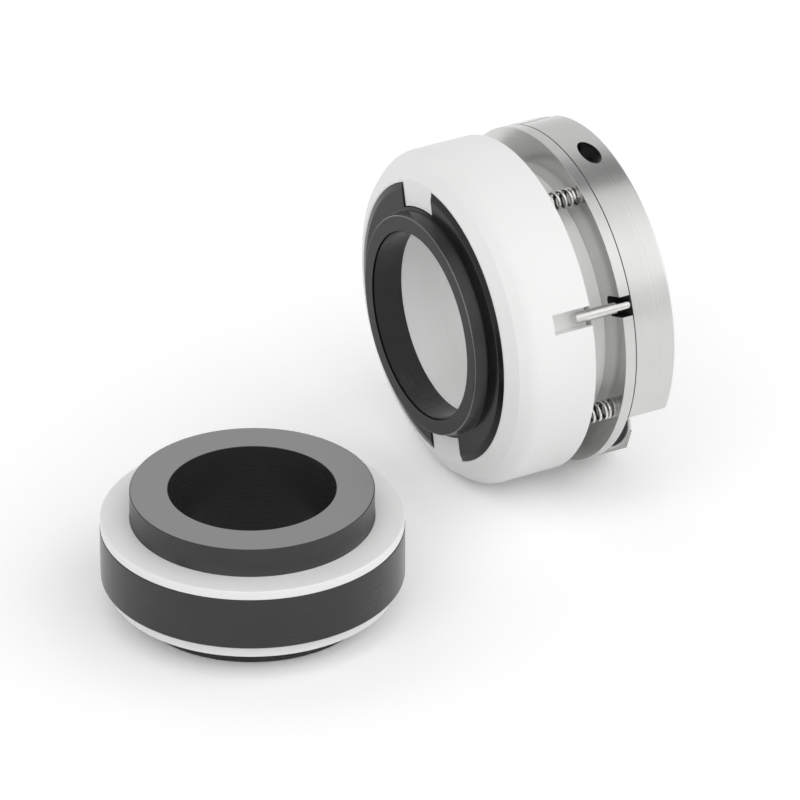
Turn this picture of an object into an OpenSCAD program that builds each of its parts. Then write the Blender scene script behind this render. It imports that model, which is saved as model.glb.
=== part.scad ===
// Component mechanical seal, in millimetres: a rotary head with a PTFE bellows that lies on
// its side, and the stationary seat that it runs against, which stands beside it.
// X is the head's axis and points to the clamp collar; the origin is on it, at the rear edge
// of the PTFE body. Axial places are measured along X. Clock angles start at the top of the
// head and grow towards -Y.

/* [PTFE bellows body] */
// Radius of the shaft that the head is clamped on
shaft_r = 17.5; // [16.5:0.25:18]
// Outer radius of the PTFE body
body_r = 37.4; // [37:0.1:42]
// Length of the PTFE body, front face to rear edge
body_len = 19.3; // [17:0.1:24]
// Width of the shallow bevel around the front face, across
front_bevel_w = 3.1; // [2:0.1:3.5]
// Length of the front bevel, along the axis
front_bevel_len = 1.7; // [1:0.1:2.5]
// How far the rounding behind the bevel comes in from the body's outer radius
front_round_w = 2.4; // [1:0.1:2.8]
// Length of the rounding, along the axis
front_round_len = 4.2; // [2:0.1:5]
// Depth of the recess that holds the face ring
recess_depth = 3.85; // [3:0.05:5]
// Length of the funnel between the recess and the shaft bore
funnel_len = 7.05; // [5:0.05:9]
// Radius of the edge break behind the body
rear_break = 0.3; // [0.1:0.1:0.6]

/* [Bellows folds] */
// Gap between the PTFE body and the spring plate
float_gap = 7.3; // [6.5:0.1:9]
// Number of folds
folds = 2; // [1:1:3]
// How far the folds' crests lie inside the body's outer radius
fold_inset = 8.6; // [8:0.1:11]
// Thickness of the fold walls
fold_wall = 1; // [0.8:0.05:1.2]
// Width of the grooves between the fold walls
fold_gap = 1.2; // [0.9:0.05:1.3]
// Thickness of the tail that the collar clamps
tail_wall = 6; // [5:0.1:6.5]

/* [Face ring] */
// Width of the PTFE rim around the ring's flange
rim_w = 6.25; // [6:0.05:7.5]
// Space between the shaft and the ring's bore
ring_bore_space = 3.4; // [2:0.1:3.8]
// Thickness of the ring's flange
ring_flange_t = 4.25; // [3.5:0.05:6]
// Width of the running face
nose_w = 3.6; // [2.6:0.1:4.2]
// How far the nose widens down to the flange
nose_taper = 0.6; // [0:0.1:1]
// Height of the nose above the flange
nose_h = 2.95; // [1.5:0.05:4]
// Width of the bevel on the flange's rim, across
ring_bevel_w = 1.5; // [0.3:0.1:2]
// Depth of the bevel on the flange's rim
ring_bevel_h = 0.5; // [0.2:0.1:1]
// Width of the two PTFE lugs that keep the ring from turning
lug_w = 12.5; // [8:0.1:15]
// Space between the foot of the nose and the lugs' inner ends
lug_space = 0.8; // [0.4:0.1:2.5]
// Clock angle of the first lug
lug_angle = -13.5; // [-20:0.5:0]

/* [Springs] */
// Number of springs
springs = 4; // [4:2:4]
// Outer diameter of a spring
spring_d = 4.5; // [3.8:0.1:4.8]
// Diameter of the spring wire
wire_d = 0.7; // [0.5:0.05:0.8]
// Distance between the open turns
spring_pitch = 1.56; // [1.3:0.01:2]
// How far the springs' axes lie inside the body's outer radius
spring_inset = 4.15; // [3.9:0.05:5]
// Clock angle of the first spring
spring_angle = 24.5; // [15:0.5:30]
// Depth of the spring pockets in the PTFE body
pocket_depth = 6; // [4:0.1:8]

/* [Drive pins and slots] */
// Diameter of a drive pin
pin_d = 2.5; // [2:0.1:2.8]
// How far the pins' axes lie inside the body's outer radius
pin_inset = 1.7; // [1.6:0.05:2.7]
// Clock angle of the first pin
pin_angle = 69.4; // [64:0.2:74]
// How far a pin reaches into the slot in the PTFE body
pin_reach = 3.4; // [2:0.1:4]
// Depth of the pin's hole in the clamp collar
pin_seat = 5; // [3:0.5:7]
// Width of the drive slots in the PTFE body
slot_w = 4.4; // [3.6:0.1:6]
// Length of the drive slots
slot_len = 9.3; // [8.5:0.1:12]
// Depth of the drive slots in the PTFE body
slot_depth = 4; // [3.5:0.1:5]
// Width of the notches in the spring plate
notch_w = 4.5; // [3.6:0.1:6]
// Depth of the notches, from the plate's rim
notch_depth = 5.9; // [4.5:0.1:7]
// Radius of the notches' inner corners
notch_corner_r = 1.2; // [0.4:0.1:1.5]

/* [Spring plate and clamp collar] */
// How far the spring plate's rim lies inside the body's outer radius
plate_inset = 0; // [0:0.1:0.6]
// Thickness of the spring plate
plate_t = 2.6; // [2:0.1:3.5]
// How far the clamp collar's rim lies inside the body's outer radius
collar_inset = 0; // [0:0.1:0.7]
// Width of the clamp collar
collar_w = 9.8; // [9.8:0.1:12]
// Edge break of the plate and the collar
edge_break = 0.15; // [0.1:0.05:0.4]
// Edge break of the collar's back
back_break = 0.7; // [0.2:0.1:1]
// Clock angle of the plane that parts the collar's halves
split_angle = 158.7; // [155:0.1:162]
// Gap between the collar's halves
split_gap = 0.4; // [0.2:0.1:1]

/* [Clamp screws] */
// Nominal diameter of the clamp screws
screw_d = 5; // [4:0.5:5]
// How far the screws' axes lie inside the collar's rim
screw_inset = 6.4; // [6:0.1:6.6]
// Diameter of the low screw heads
screw_head_d = 8.5; // [7:0.1:8.6]
// Height of the low screw heads
screw_head_h = 3.5; // [2.5:0.1:4]
// Length of the screws below the head
screw_len = 16; // [12:1:16]
// Size of the hexagon socket, across its flats
hex_size = 3; // [2.5:0.5:4]
// Depth of the hexagon socket
hex_depth = 2; // [1:0.1:2.2]
// Thickness of the wall under a screw's head, from the middle of the split
head_wall = 4.3; // [3:0.1:5]
// How far a head lies below the face that it is sunk in
head_sink = 0.5; // [0.1:0.1:1]
// Diameter of the tapping drill, seen where the hole leaves the collar
drill_d = 4.3; // [4:0.1:4.6]
// How far the flat pocket floor lies below the screw head
floor_drop = 0.15; // [0.1:0.05:0.5]
// Width of the bevel on the rear corner over each screw head, across
corner_bevel_w = 3.4; // [1:0.1:3.6]
// Length of the corner bevel, along the axis
corner_bevel_len = 2; // [0.5:0.1:2.5]

/* [Seat] */
// Space between the shaft and the seat's bore
seat_bore_space = 0.3; // [0.25:0.05:1.5]
// Radius of the seat's flange
seat_r = 32.3; // [31.5:0.1:36]
// Width of the seat's flange
seat_flange_w = 11.8; // [8:0.1:15]
// Width of the shelf around the running nose
seat_shelf = 6.4; // [5.5:0.1:8]
// Height of the running nose above the upper gasket
seat_nose_h = 6.4; // [3:0.1:9]
// Width of the shelf around the lower nose
seat_foot_shelf = 7.1; // [6:0.1:8.5]
// Height of the lower nose below the lower gasket
seat_foot_h = 4.6; // [2:0.1:7]
// How far the upper gasket's rim lies inside the seat's flange
upper_gasket_inset = 0.1; // [0:0.1:2]
// Thickness of the upper gasket
upper_gasket_t = 2; // [1:0.1:4]
// How far the lower gasket's rim lies inside the seat's flange
lower_gasket_inset = 1.8; // [0:0.1:4]
// Thickness of the lower gasket
lower_gasket_t = 3; // [1:0.1:5]
// Edge break of the seat's flange and foot
seat_break = 0.4; // [0.2:0.1:0.8]
// Edge break of the seat's bore
seat_bore_break = 0.1; // [0.1:0.1:0.5]
// Edge break of the gaskets
gasket_break = 0.25; // [0.1:0.05:0.4]
// Place of the seat's axis along X
seat_x = -79.6; // [-100:0.1:-75]
// Place of the seat's axis along Y
seat_y = -30; // [-60:0.5:-30]

/* [Clearances] */
// Play of a ring in its recess, or a gasket on its nose
ring_fit = 0.05; // [0.02:0.01:0.1]
// Play of a pin in its hole, or a screw in its thread
pin_fit = 0.02; // [0.01:0.01:0.05]
// Play between a lug and the ring's notch
lug_play = 0.15; // [0.1:0.05:0.3]
// Play of a screw in its clearance hole, or its head in its counterbore
screw_play = 0.25; // [0.2:0.05:0.35]
// Play between the tail and the spring plate
plate_play = 0.3; // [0.2:0.05:0.5]
// Play between the last fold and the spring plate, which it just meets
crest_play = 0.05; // [0.02:0.01:0.1]
// Play between the springs and their pockets
spring_play = 0.25; // [0.15:0.05:0.4]
// Play between the folds and the body around them
fold_play = 0.8; // [0.5:0.1:1.2]

/* [Hidden] */
$fn = 96;
over = 1;

// Radii that follow the body and the shaft
recess_r = body_r - rim_w;
ring_r = recess_r - ring_fit;
ring_bore_r = shaft_r + ring_bore_space;
nose_r = ring_bore_r + nose_w;
lug_tip_r = nose_r + nose_taper + lug_space;
fold_r = body_r - fold_inset;
trench_r = fold_r + fold_play;
root_r = shaft_r + fold_wall + 0.2;
tail_r = shaft_r + tail_wall;
spring_circle_r = body_r - spring_inset;
pin_circle_r = body_r - pin_inset;
slot_floor_r = body_r - slot_depth;
plate_r = body_r - plate_inset;
notch_floor_r = plate_r - notch_depth;
collar_r = body_r - collar_inset;
screw_off = collar_r - screw_inset;
seat_bore_r = shaft_r + seat_bore_space;
seat_nose_r = seat_r - seat_shelf;
seat_foot_r = seat_r - seat_foot_shelf;
upper_gasket_r = seat_r - upper_gasket_inset;
lower_gasket_r = seat_r - lower_gasket_inset;

// Places along the head's axis
body_front = -body_len;
ring_back = body_front + recess_depth;
flange_face = ring_back - ring_flange_t;
running_face = flange_face - nose_h;
throat = ring_back + funnel_len;
plate_front = float_gap;
collar_front = plate_front + plate_t;
collar_back = collar_front + collar_w;
screw_mid = (collar_front + collar_back) / 2;
head_low = head_wall;
head_high = head_low + screw_head_h;
seat_face = head_high + head_sink;
pocket_floor = screw_off - screw_head_d / 2 - screw_play - floor_drop;

// The folds reach back to the plate and run forwards into the body
fold_pitch = 2 * (fold_wall + fold_gap);
folds_end = plate_front - crest_play;
folds_start = folds_end - folds * fold_pitch;
fold_round = 0.2;

// The head lies on the PTFE body, and the seat stands on the same surface
ground = -body_r;
foot_top = ground + seat_foot_h;
flange_bottom = foot_top + lower_gasket_t;
flange_top = flange_bottom + seat_flange_w;
gasket_top = flange_top + upper_gasket_t;
seat_top = gasket_top + seat_nose_h;

ptfe_colour = [0.93, 0.93, 0.92];
carbide_colour = [0.14, 0.14, 0.15];
steel_colour = [0.72, 0.71, 0.69];
screw_colour = [0.16, 0.16, 0.16];

// Points of a soft corner from a to c, with its tip at b
function soft_corner(a, b, c, steps = 4) =
    [for (i = [0 : steps]) let (u = i / steps)
        (1 - u) * (1 - u) * a + 2 * u * (1 - u) * b + u * u * c];

module on_head() {
    rotate([0, 90, 0]) children();
}

module at_clock(angle) {
    rotate([0, 0, 180 + angle]) children();
}

module both_sides(angle) {
    for (turn = [0, 180]) at_clock(angle + turn) children();
}

module on_seat() {
    translate([seat_x, seat_y, 0]) children();
}

// A ring around the axis with small breaks on its outer edges
module plain_ring(inner_r, outer_r, low, high, break_low, break_high) {
    rotate_extrude() polygon([
        [inner_r, low], [outer_r - break_low, low], [outer_r, low + break_low],
        [outer_r, high - break_high], [outer_r - break_high, high], [inner_r, high]]);
}

// PTFE body, folds and tail, turned from one bar

function fold_outside(at) = [
    [root_r, at],
    [root_r, at + fold_gap],
    [fold_r - fold_round, at + fold_gap],
    [fold_r, at + fold_gap + fold_round],
    [fold_r, at + fold_pitch - fold_round],
    [fold_r - fold_round, at + fold_pitch]];

function fold_inside(at) = [
    [shaft_r, at + fold_pitch - fold_wall],
    [fold_r - fold_wall, at + fold_pitch - fold_wall],
    [fold_r - fold_wall, at + fold_gap + fold_wall],
    [shaft_r, at + fold_gap + fold_wall]];

module bellows_turning() {
    funnel_slope = (ring_bore_r - shaft_r) / funnel_len;
    throat_round = 1.2;
    round_steps = 6;
    bevel_end = body_front + front_bevel_len;
    bevel_r = body_r - front_round_w;
    rotate_extrude() polygon(concat(
        [[ring_bore_r, ring_back], [recess_r, ring_back], [recess_r, body_front]],
        [[bevel_r - front_bevel_w, body_front]],
        soft_corner([bevel_r, bevel_end], [body_r, bevel_end + front_round_len / 2],
            [body_r, bevel_end + front_round_len], round_steps),
        [[body_r, -rear_break], [body_r - rear_break, 0], [trench_r, 0], [trench_r, folds_start]],
        [for (i = [0 : folds - 1]) each fold_outside(folds_start + i * fold_pitch)],
        [[tail_r, folds_end], [tail_r, collar_back], [shaft_r, collar_back]],
        [for (i = [folds - 1 : -1 : 0]) each fold_inside(folds_start + i * fold_pitch)],
        soft_corner([shaft_r, throat + throat_round], [shaft_r, throat],
            [shaft_r + throat_round * funnel_slope, throat - throat_round])));
}

// A lug fills its share of the recess, up to the body's front face, and runs into its wall
module lug() {
    into_wall = 0.2;
    translate([0, 0, body_front]) linear_extrude(recess_depth) difference() {
        intersection() {
            translate([0, -lug_w / 2]) square([body_r, lug_w]);
            circle(recess_r + into_wall);
        }
        circle(lug_tip_r);
    }
}

module drive_slot() {
    translate([slot_floor_r, -slot_w / 2, -slot_len]) cube([body_r, slot_w, slot_len + over]);
}

module spring_pocket() {
    translate([spring_circle_r, 0, -pocket_depth])
        cylinder(r = spring_d / 2 + spring_play, h = pocket_depth + over);
}

module ptfe_bellows() {
    color(ptfe_colour) on_head() difference() {
        union() {
            bellows_turning();
            both_sides(lug_angle) lug();
        }
        both_sides(pin_angle) drive_slot();
        for (i = [0 : springs - 1]) at_clock(spring_angle + i * 360 / springs) spring_pocket();
    }
}

// Face ring of silicon carbide, with a notch for each lug

module lug_notch() {
    notch = lug_w + 2 * lug_play;
    translate([0, 0, flange_face - over]) linear_extrude(ring_flange_t + 2 * over) difference() {
        translate([0, -notch / 2]) square([body_r, notch]);
        circle(lug_tip_r - lug_play);
    }
}

module face_ring() {
    tip = 0.15;
    color(carbide_colour) on_head() difference() {
        rotate_extrude() polygon([
            [ring_bore_r, ring_back], [ring_r, ring_back], [ring_r, flange_face + ring_bevel_h],
            [ring_r - ring_bevel_w, flange_face], [nose_r + nose_taper, flange_face],
            [nose_r, running_face + tip], [nose_r - tip, running_face],
            [ring_bore_r + tip, running_face], [ring_bore_r, running_face + tip]]);
        both_sides(lug_angle) lug_notch();
    }
}

// Springs, each a wire wound on a helix with a closed turn at both ends

end_gap = 0.02;
spring_low = -pocket_depth + end_gap;
spring_high = plate_front - end_gap;
spring_run = spring_high - spring_low - wire_d;
open_turns = (spring_run - 2 * wire_d) / spring_pitch;
turns = open_turns + 2;
steps_per_turn = 12;
wire_sides = 6;

function wire_height(turn) =
    turn < 1 ? turn * wire_d
    : turn > turns - 1 ? spring_run - (turns - turn) * wire_d
    : wire_d + (turn - 1) * spring_pitch;

function wire_point(turn, side) =
    let (around = 360 * turn, across = 360 * side / wire_sides,
        reach = (spring_d - wire_d) / 2 + wire_d / 2 * cos(across))
    [reach * cos(around), reach * sin(around),
        spring_low + wire_d / 2 + wire_height(turn) + wire_d / 2 * sin(across)];

module spring() {
    rings = ceil(turns * steps_per_turn);
    points = [for (i = [0 : rings], side = [0 : wire_sides - 1])
        wire_point(turns * i / rings, side)];
    walls = [for (i = [0 : rings - 1], side = [0 : wire_sides - 1])
        let (next = (side + 1) % wire_sides, a = i * wire_sides, b = a + wire_sides)
        [a + side, b + side, b + next, a + next]];
    start = [[for (side = [0 : wire_sides - 1]) side]];
    end = [[for (side = [wire_sides - 1 : -1 : 0]) rings * wire_sides + side]];
    polyhedron(points, concat(walls, start, end), convexity = 8);
}

module placed_spring(number) {
    color(steel_colour) on_head() at_clock(spring_angle + (number - 1) * 360 / springs)
        translate([spring_circle_r, 0, 0]) spring();
}

module spring_1() { placed_spring(1); }
module spring_2() { placed_spring(2); }
module spring_3() { placed_spring(3); }
module spring_4() { placed_spring(4); }

// Spring plate, with an open notch for each drive pin

module plate_notch() {
    corner = notch_w / 2 - notch_corner_r;
    translate([0, 0, plate_front - over]) linear_extrude(plate_t + 2 * over) {
        translate([notch_floor_r + notch_corner_r, -notch_w / 2]) square([plate_r, notch_w]);
        translate([notch_floor_r, -corner]) square([plate_r, 2 * corner]);
        for (side = [-1, 1])
            translate([notch_floor_r + notch_corner_r, side * corner]) circle(notch_corner_r);
    }
}

module spring_plate() {
    color(steel_colour) on_head() difference() {
        plain_ring(tail_r + plate_play, plate_r, plate_front, collar_front, edge_break, edge_break);
        both_sides(pin_angle) plate_notch();
    }
}

// Clamp collar in two like halves, half a turn apart. In the clamp frame +X points at the
// split, and -Y into the first half. The screw at the split has its head in this half, and
// the other screw's thread leaves this half on the far side.

module on_clamp(number) {
    on_head() at_clock(split_angle + (number - 1) * 180) children();
}

module along_screw(x, from, to, r) {
    translate([x, max(from, to), screw_mid]) rotate([90, 0, 0])
        cylinder(r = r, h = abs(to - from));
}

// The bevel runs from the pocket's wall to the split
module corner_bevel() {
    wall_r = sqrt(collar_r ^ 2 - seat_face ^ 2);
    rotate([90, 0, 0]) linear_extrude(seat_face + over) polygon([
        [wall_r - corner_bevel_w, collar_back], [wall_r, collar_back - corner_bevel_len],
        [collar_r + over, collar_back - corner_bevel_len], [collar_r + over, collar_back + over],
        [wall_r - corner_bevel_w, collar_back + over]]);
}

module clamp_half(number) {
    bore_r = tail_r + ring_fit;
    far = collar_r + over;
    color(steel_colour) on_clamp(number) difference() {
        plain_ring(bore_r, collar_r, collar_front, collar_back, edge_break, back_break);
        translate([-far, -split_gap / 2, collar_front - over])
            cube([2 * far, 2 * far, collar_w + 2 * over]);
        translate([pocket_floor, -seat_face - far, collar_front - over])
            cube([far, far, collar_w + 2 * over]);
        corner_bevel();
        along_screw(screw_off, over, -head_low - over, screw_d / 2 + screw_play);
        along_screw(screw_off, -head_low, -seat_face - over, screw_head_d / 2 + screw_play);
        along_screw(-screw_off, over, -screw_len, screw_d / 2 + pin_fit);
        along_screw(-screw_off, over, -far, drill_d / 2);
        rotate([0, 0, pin_angle - split_angle]) translate([pin_circle_r, 0, collar_front - over])
            cylinder(r = pin_d / 2 + pin_fit, h = pin_seat + over);
    }
}

module clamp_half_1() { clamp_half(1); }
module clamp_half_2() { clamp_half(2); }

// Low-head socket screws that draw the halves together across the split

module clamp_screw(number) {
    color(screw_colour) on_clamp(number) difference() {
        union() {
            along_screw(screw_off, -head_low, -head_high, screw_head_d / 2);
            along_screw(screw_off, screw_len - head_low, -head_low, screw_d / 2);
        }
        translate([screw_off, hex_depth - head_high, screw_mid]) rotate([90, 0, 0])
            cylinder(d = hex_size / cos(30), h = hex_depth + over, $fn = 6);
    }
}

module clamp_screw_1() { clamp_screw(1); }
module clamp_screw_2() { clamp_screw(2); }

// Drive pins, set in the collar's front face, with a domed tip that has a centre mark

module drive_pin(number) {
    pin_r = pin_d / 2;
    tip = -pin_reach;
    dome = 0.5;
    mark_r = 0.3;
    color(steel_colour) on_head() at_clock(pin_angle + (number - 1) * 180)
        translate([pin_circle_r, 0, 0]) rotate_extrude() polygon(concat(
            [[0, tip + mark_r], [mark_r, tip]],
            soft_corner([pin_r - dome, tip], [pin_r, tip], [pin_r, tip + dome]),
            [[pin_r, collar_front + pin_seat], [0, collar_front + pin_seat]]));
}

module drive_pin_1() { drive_pin(1); }
module drive_pin_2() { drive_pin(2); }

// Stationary seat and its two gaskets

module seat_ring() {
    color(carbide_colour) on_seat() rotate_extrude() polygon([
        [seat_bore_r + seat_bore_break, ground], [seat_foot_r - seat_break, ground],
        [seat_foot_r, ground + seat_break], [seat_foot_r, flange_bottom],
        [seat_r - seat_break, flange_bottom], [seat_r, flange_bottom + seat_break],
        [seat_r, flange_top - seat_break], [seat_r - seat_break, flange_top],
        [seat_nose_r, flange_top], [seat_nose_r, seat_top - seat_break / 2],
        [seat_nose_r - seat_break / 2, seat_top], [seat_bore_r + seat_bore_break, seat_top],
        [seat_bore_r, seat_top - seat_bore_break], [seat_bore_r, ground + seat_bore_break]]);
}

module upper_gasket() {
    color(ptfe_colour) on_seat() plain_ring(seat_nose_r + ring_fit, upper_gasket_r,
        flange_top, gasket_top, gasket_break / 2, gasket_break);
}

module lower_gasket() {
    color(ptfe_colour) on_seat() plain_ring(seat_foot_r + ring_fit, lower_gasket_r,
        foot_top, flange_bottom, gasket_break, gasket_break / 2);
}

ptfe_bellows();
face_ring();
spring_1();
spring_2();
spring_3();
spring_4();
spring_plate();
clamp_half_1();
clamp_half_2();
clamp_screw_1();
clamp_screw_2();
drive_pin_1();
drive_pin_2();
seat_ring();
upper_gasket();
lower_gasket();
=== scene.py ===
import bmesh
import bpy
import math
from mathutils import Matrix, Vector


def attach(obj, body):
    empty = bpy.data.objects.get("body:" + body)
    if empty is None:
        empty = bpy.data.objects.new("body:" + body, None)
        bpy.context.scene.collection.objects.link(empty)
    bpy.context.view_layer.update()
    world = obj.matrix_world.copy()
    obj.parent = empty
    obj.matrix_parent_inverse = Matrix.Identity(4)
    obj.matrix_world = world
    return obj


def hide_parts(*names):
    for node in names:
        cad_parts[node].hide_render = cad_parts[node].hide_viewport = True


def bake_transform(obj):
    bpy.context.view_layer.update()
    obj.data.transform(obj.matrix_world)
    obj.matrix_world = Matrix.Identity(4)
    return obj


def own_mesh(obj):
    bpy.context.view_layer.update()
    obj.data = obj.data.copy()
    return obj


# Mechanical shaft seal: a rotary head lying on its side and its stationary seat beside it.
# All shapes are drawn in millimetres along their own axis and then put in their place.

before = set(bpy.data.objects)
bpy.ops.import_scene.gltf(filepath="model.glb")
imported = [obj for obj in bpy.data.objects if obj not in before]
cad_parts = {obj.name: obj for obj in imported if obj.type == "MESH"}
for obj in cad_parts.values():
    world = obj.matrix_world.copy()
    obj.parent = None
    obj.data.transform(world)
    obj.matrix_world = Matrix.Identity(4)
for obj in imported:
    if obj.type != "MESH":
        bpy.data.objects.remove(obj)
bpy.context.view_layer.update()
print("frame loaded:", len(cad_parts), "parts")

millimetre = 0.001
fullTurn = 2 * math.pi


# Camera, at the angle and distance that the photograph was taken from

cameraSetup = {
    "place": (-0.6858, -1.1902, 0.7419),
    "looks": (0.4227, 0.7641, -0.4873),
    "lens": 322.3,
    "sensor": 36,
    "clip": (0.05, 50),
}


def makeCamera(setup):
    data = bpy.data.cameras.new("camera")
    data.lens = setup["lens"]
    data.sensor_width = setup["sensor"]
    data.clip_start, data.clip_end = setup["clip"]
    camera = bpy.data.objects.new("camera", data)
    camera.location = setup["place"]
    camera.rotation_mode = "QUATERNION"
    camera.rotation_quaternion = Vector(setup["looks"]).to_track_quat("-Z", "Y")
    bpy.context.scene.collection.objects.link(camera)
    bpy.context.scene.camera = camera


makeCamera(cameraSetup)
bpy.context.scene.view_settings.view_transform = "Standard"
print("camera set")


# Shader maths: a value in a node tree that adds its own Math nodes

noiseMiddle = 0.5


class Value:
    def __init__(self, graph, socket):
        self.graph, self.socket = graph, socket

    def maths(self, operation, *terms):
        return self.graph.add("ShaderNodeMath", {"operation": operation},
                              dict(enumerate(terms)))

    def __add__(self, other):
        return self.maths("ADD", self, other)

    def __radd__(self, other):
        return self.maths("ADD", other, self)

    def __sub__(self, other):
        return self.maths("SUBTRACT", self, other)

    def __rsub__(self, other):
        return self.maths("SUBTRACT", other, self)

    def __mul__(self, other):
        return self.maths("MULTIPLY", self, other)

    def __rmul__(self, other):
        return self.maths("MULTIPLY", other, self)

    def __pow__(self, other):
        return self.maths("POWER", self, other)

    def clamped(self):
        return self.graph.add("ShaderNodeClamp", {}, {"Value": self, "Min": 0.0, "Max": 1.0})

    # 0 below the first number and 1 above the second, with a soft step between them
    def step(self, low, high):
        return self.graph.add("ShaderNodeMapRange", {"interpolation_type": "SMOOTHSTEP"},
                              {"Value": self, "From Min": low, "From Max": high})

    # How far a noise lies above or below its middle
    def swing(self):
        return self - noiseMiddle


class Graph:
    def __init__(self, tree):
        self.tree = tree
        self.tree.nodes.clear()

    # Adds a node, links or fills its sockets and gives back one of its outputs
    def add(self, kind, settings, sockets, output=0):
        node = self.tree.nodes.new(kind)
        for name, value in settings.items():
            setattr(node, name, value)
        for name, value in sockets.items():
            if isinstance(value, Value):
                self.tree.links.new(value.socket, node.inputs[name])
            else:
                node.inputs[name].default_value = value
        return Value(self, node.outputs[output]) if node.outputs else None

    # A Mix node has several sockets of each name, so those for colours go by number
    def mix(self, share, first, second):
        shareSocket, firstSocket, secondSocket, result = 0, 6, 7, 2
        sockets = {shareSocket: share, firstSocket: (*first, 1), secondSocket: (*second, 1)}
        return self.add("ShaderNodeMix", {"data_type": "RGBA"}, sockets, result)

    def noise(self, vector, scale, detail=3.0, roughness=0.5):
        return self.add("ShaderNodeTexNoise", {}, {
            "Vector": vector, "Scale": scale, "Detail": detail, "Roughness": roughness})

    def lineNoise(self, along, detail=3.0, roughness=0.6):
        return self.add("ShaderNodeTexNoise", {"noise_dimensions": "1D"}, {
            "W": along, "Scale": 1.0, "Detail": detail, "Roughness": roughness})

    def bump(self, height, strength, distance):
        return self.add("ShaderNodeBump", {}, {
            "Height": height, "Strength": strength, "Distance": distance})

    # The three parts of a vector, by the letter of their axis
    def split(self, vector):
        return {way: self.add("ShaderNodeSeparateXYZ", {}, {"Vector": vector}, way)
                for way in "XYZ"}


# Where a point lies on a turned piece, in millimetres: its place, its distance from the
# piece's axis and its distance along that axis
def turnedPlaces(graph, axis):
    place = graph.add("ShaderNodeTexCoord", {}, {}, "Object")
    centred = graph.add("ShaderNodeMapping", {"vector_type": "POINT"}, {
        "Vector": place, "Location": axis["shift"], "Scale": (1 / millimetre,) * 3})
    parts = graph.split(centred)
    along = parts.pop(axis["along"])
    across, aside = parts.values()
    radius = (across * across + aside * aside) ** 0.5
    return centred, radius, along


# The head lies along the frame's own X axis, and the seat stands upright beside it
seatCentre = (-79.6, -30, 0)
headAxis = {"shift": (0, 0, 0), "along": "X"}
seatAxis = {"shift": tuple(-part for part in seatCentre), "along": "Z"}


def newMaterial(name):
    material = bpy.data.materials.new(name)
    material.use_nodes = True
    return material, Graph(material.node_tree)


def finishMaterial(graph, sockets):
    shader = graph.add("ShaderNodeBsdfPrincipled", {}, sockets)
    graph.add("ShaderNodeOutputMaterial", {}, {"Surface": shader})


# Satin white PTFE with faint tool marks round its axis and a trace of cloudiness

ptfeLook = {"colour": (0.90, 0.90, 0.895), "shade": (0.84, 0.84, 0.83), "rough": 0.42,
            "marksPerMm": 3.2, "cloudScale": 0.045, "grainScale": 2.4,
            "cloudShade": 0.5, "markShade": 0.3, "shadeBand": (0.25, 0.75),
            "markRough": 0.10, "grainRough": 0.08,
            "markRelief": 0.7, "grainRelief": 0.3, "bump": 0.25, "relief": 0.00002}


def ptfeMaterial(name, axis, look):
    material, graph = newMaterial(name)
    place, radius, along = turnedPlaces(graph, axis)
    marks = graph.lineNoise((radius + along) * look["marksPerMm"])
    cloud = graph.noise(place, look["cloudScale"])
    grain = graph.noise(place, look["grainScale"], detail=2.0)
    shade = (cloud * look["cloudShade"] + marks * look["markShade"]).step(*look["shadeBand"])
    rough = look["rough"] + marks.swing() * look["markRough"] + grain.swing() * look["grainRough"]
    height = marks * look["markRelief"] + grain * look["grainRelief"]
    finishMaterial(graph, {
        "Base Color": graph.mix(shade, look["colour"], look["shade"]),
        "Roughness": rough,
        "Normal": graph.bump(height, look["bump"], look["relief"]),
    })
    return material


# Dense black carbide: ground on its sides, lapped to a finer finish on a running face

carbidePattern = {"marksPerMm": 5.0, "grainScale": 9.0, "cloudScale": 0.09,
                  "fleckBand": (0.62, 0.72), "cloudShade": 0.6, "fleckShade": 0.4,
                  "cloudRough": 0.08, "relief": 0.000008}


def carbideMaterial(name, axis, look):
    pattern = carbidePattern
    material, graph = newMaterial(name)
    place, radius, along = turnedPlaces(graph, axis)
    marks = graph.lineNoise((radius + along) * pattern["marksPerMm"])
    grain = graph.noise(place, pattern["grainScale"], roughness=0.7)
    cloud = graph.noise(place, pattern["cloudScale"])
    fleck = grain.step(*pattern["fleckBand"])
    shade = cloud * pattern["cloudShade"] + fleck * pattern["fleckShade"]
    rough = look["rough"] + marks.swing() * look["marks"] + cloud.swing() * pattern["cloudRough"]
    finishMaterial(graph, {
        "Base Color": graph.mix(shade, look["colour"], look["fleck"]),
        "Roughness": rough,
        "IOR": look["ior"],
        "Normal": graph.bump(marks, look["bump"], pattern["relief"]),
    })
    return material


# Stainless steel, turned: fine tool marks round the axis and soft uneven patches

turnedLook = {"colour": (0.67, 0.667, 0.66), "shade": (0.60, 0.597, 0.59), "rough": 0.24,
              "coarsePerMm": 1.7, "finePerMm": 9.0, "patchScale": 0.11,
              "coarseShare": 0.35, "fineShare": 0.65,
              "lineShade": 0.6, "patchShade": 0.4, "shadeBand": (0.3, 0.7),
              "lineRough": 0.16, "patchRough": 0.08, "bump": 0.2, "relief": 0.00001}


def turnedMaterial(name, axis, look):
    material, graph = newMaterial(name)
    place, radius, along = turnedPlaces(graph, axis)
    coarse = graph.lineNoise((radius + along) * look["coarsePerMm"], detail=2.0)
    fine = graph.lineNoise((radius + along) * look["finePerMm"])
    patch = graph.noise(place, look["patchScale"])
    lines = coarse * look["coarseShare"] + fine * look["fineShare"]
    shade = (lines * look["lineShade"] + patch * look["patchShade"]).step(*look["shadeBand"])
    rough = look["rough"] + lines.swing() * look["lineRough"] + patch.swing() * look["patchRough"]
    finishMaterial(graph, {
        "Base Color": graph.mix(shade, look["shade"], look["colour"]),
        "Metallic": 1.0,
        "Roughness": rough,
        "Normal": graph.bump(lines, look["bump"], look["relief"]),
    })
    return material


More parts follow.
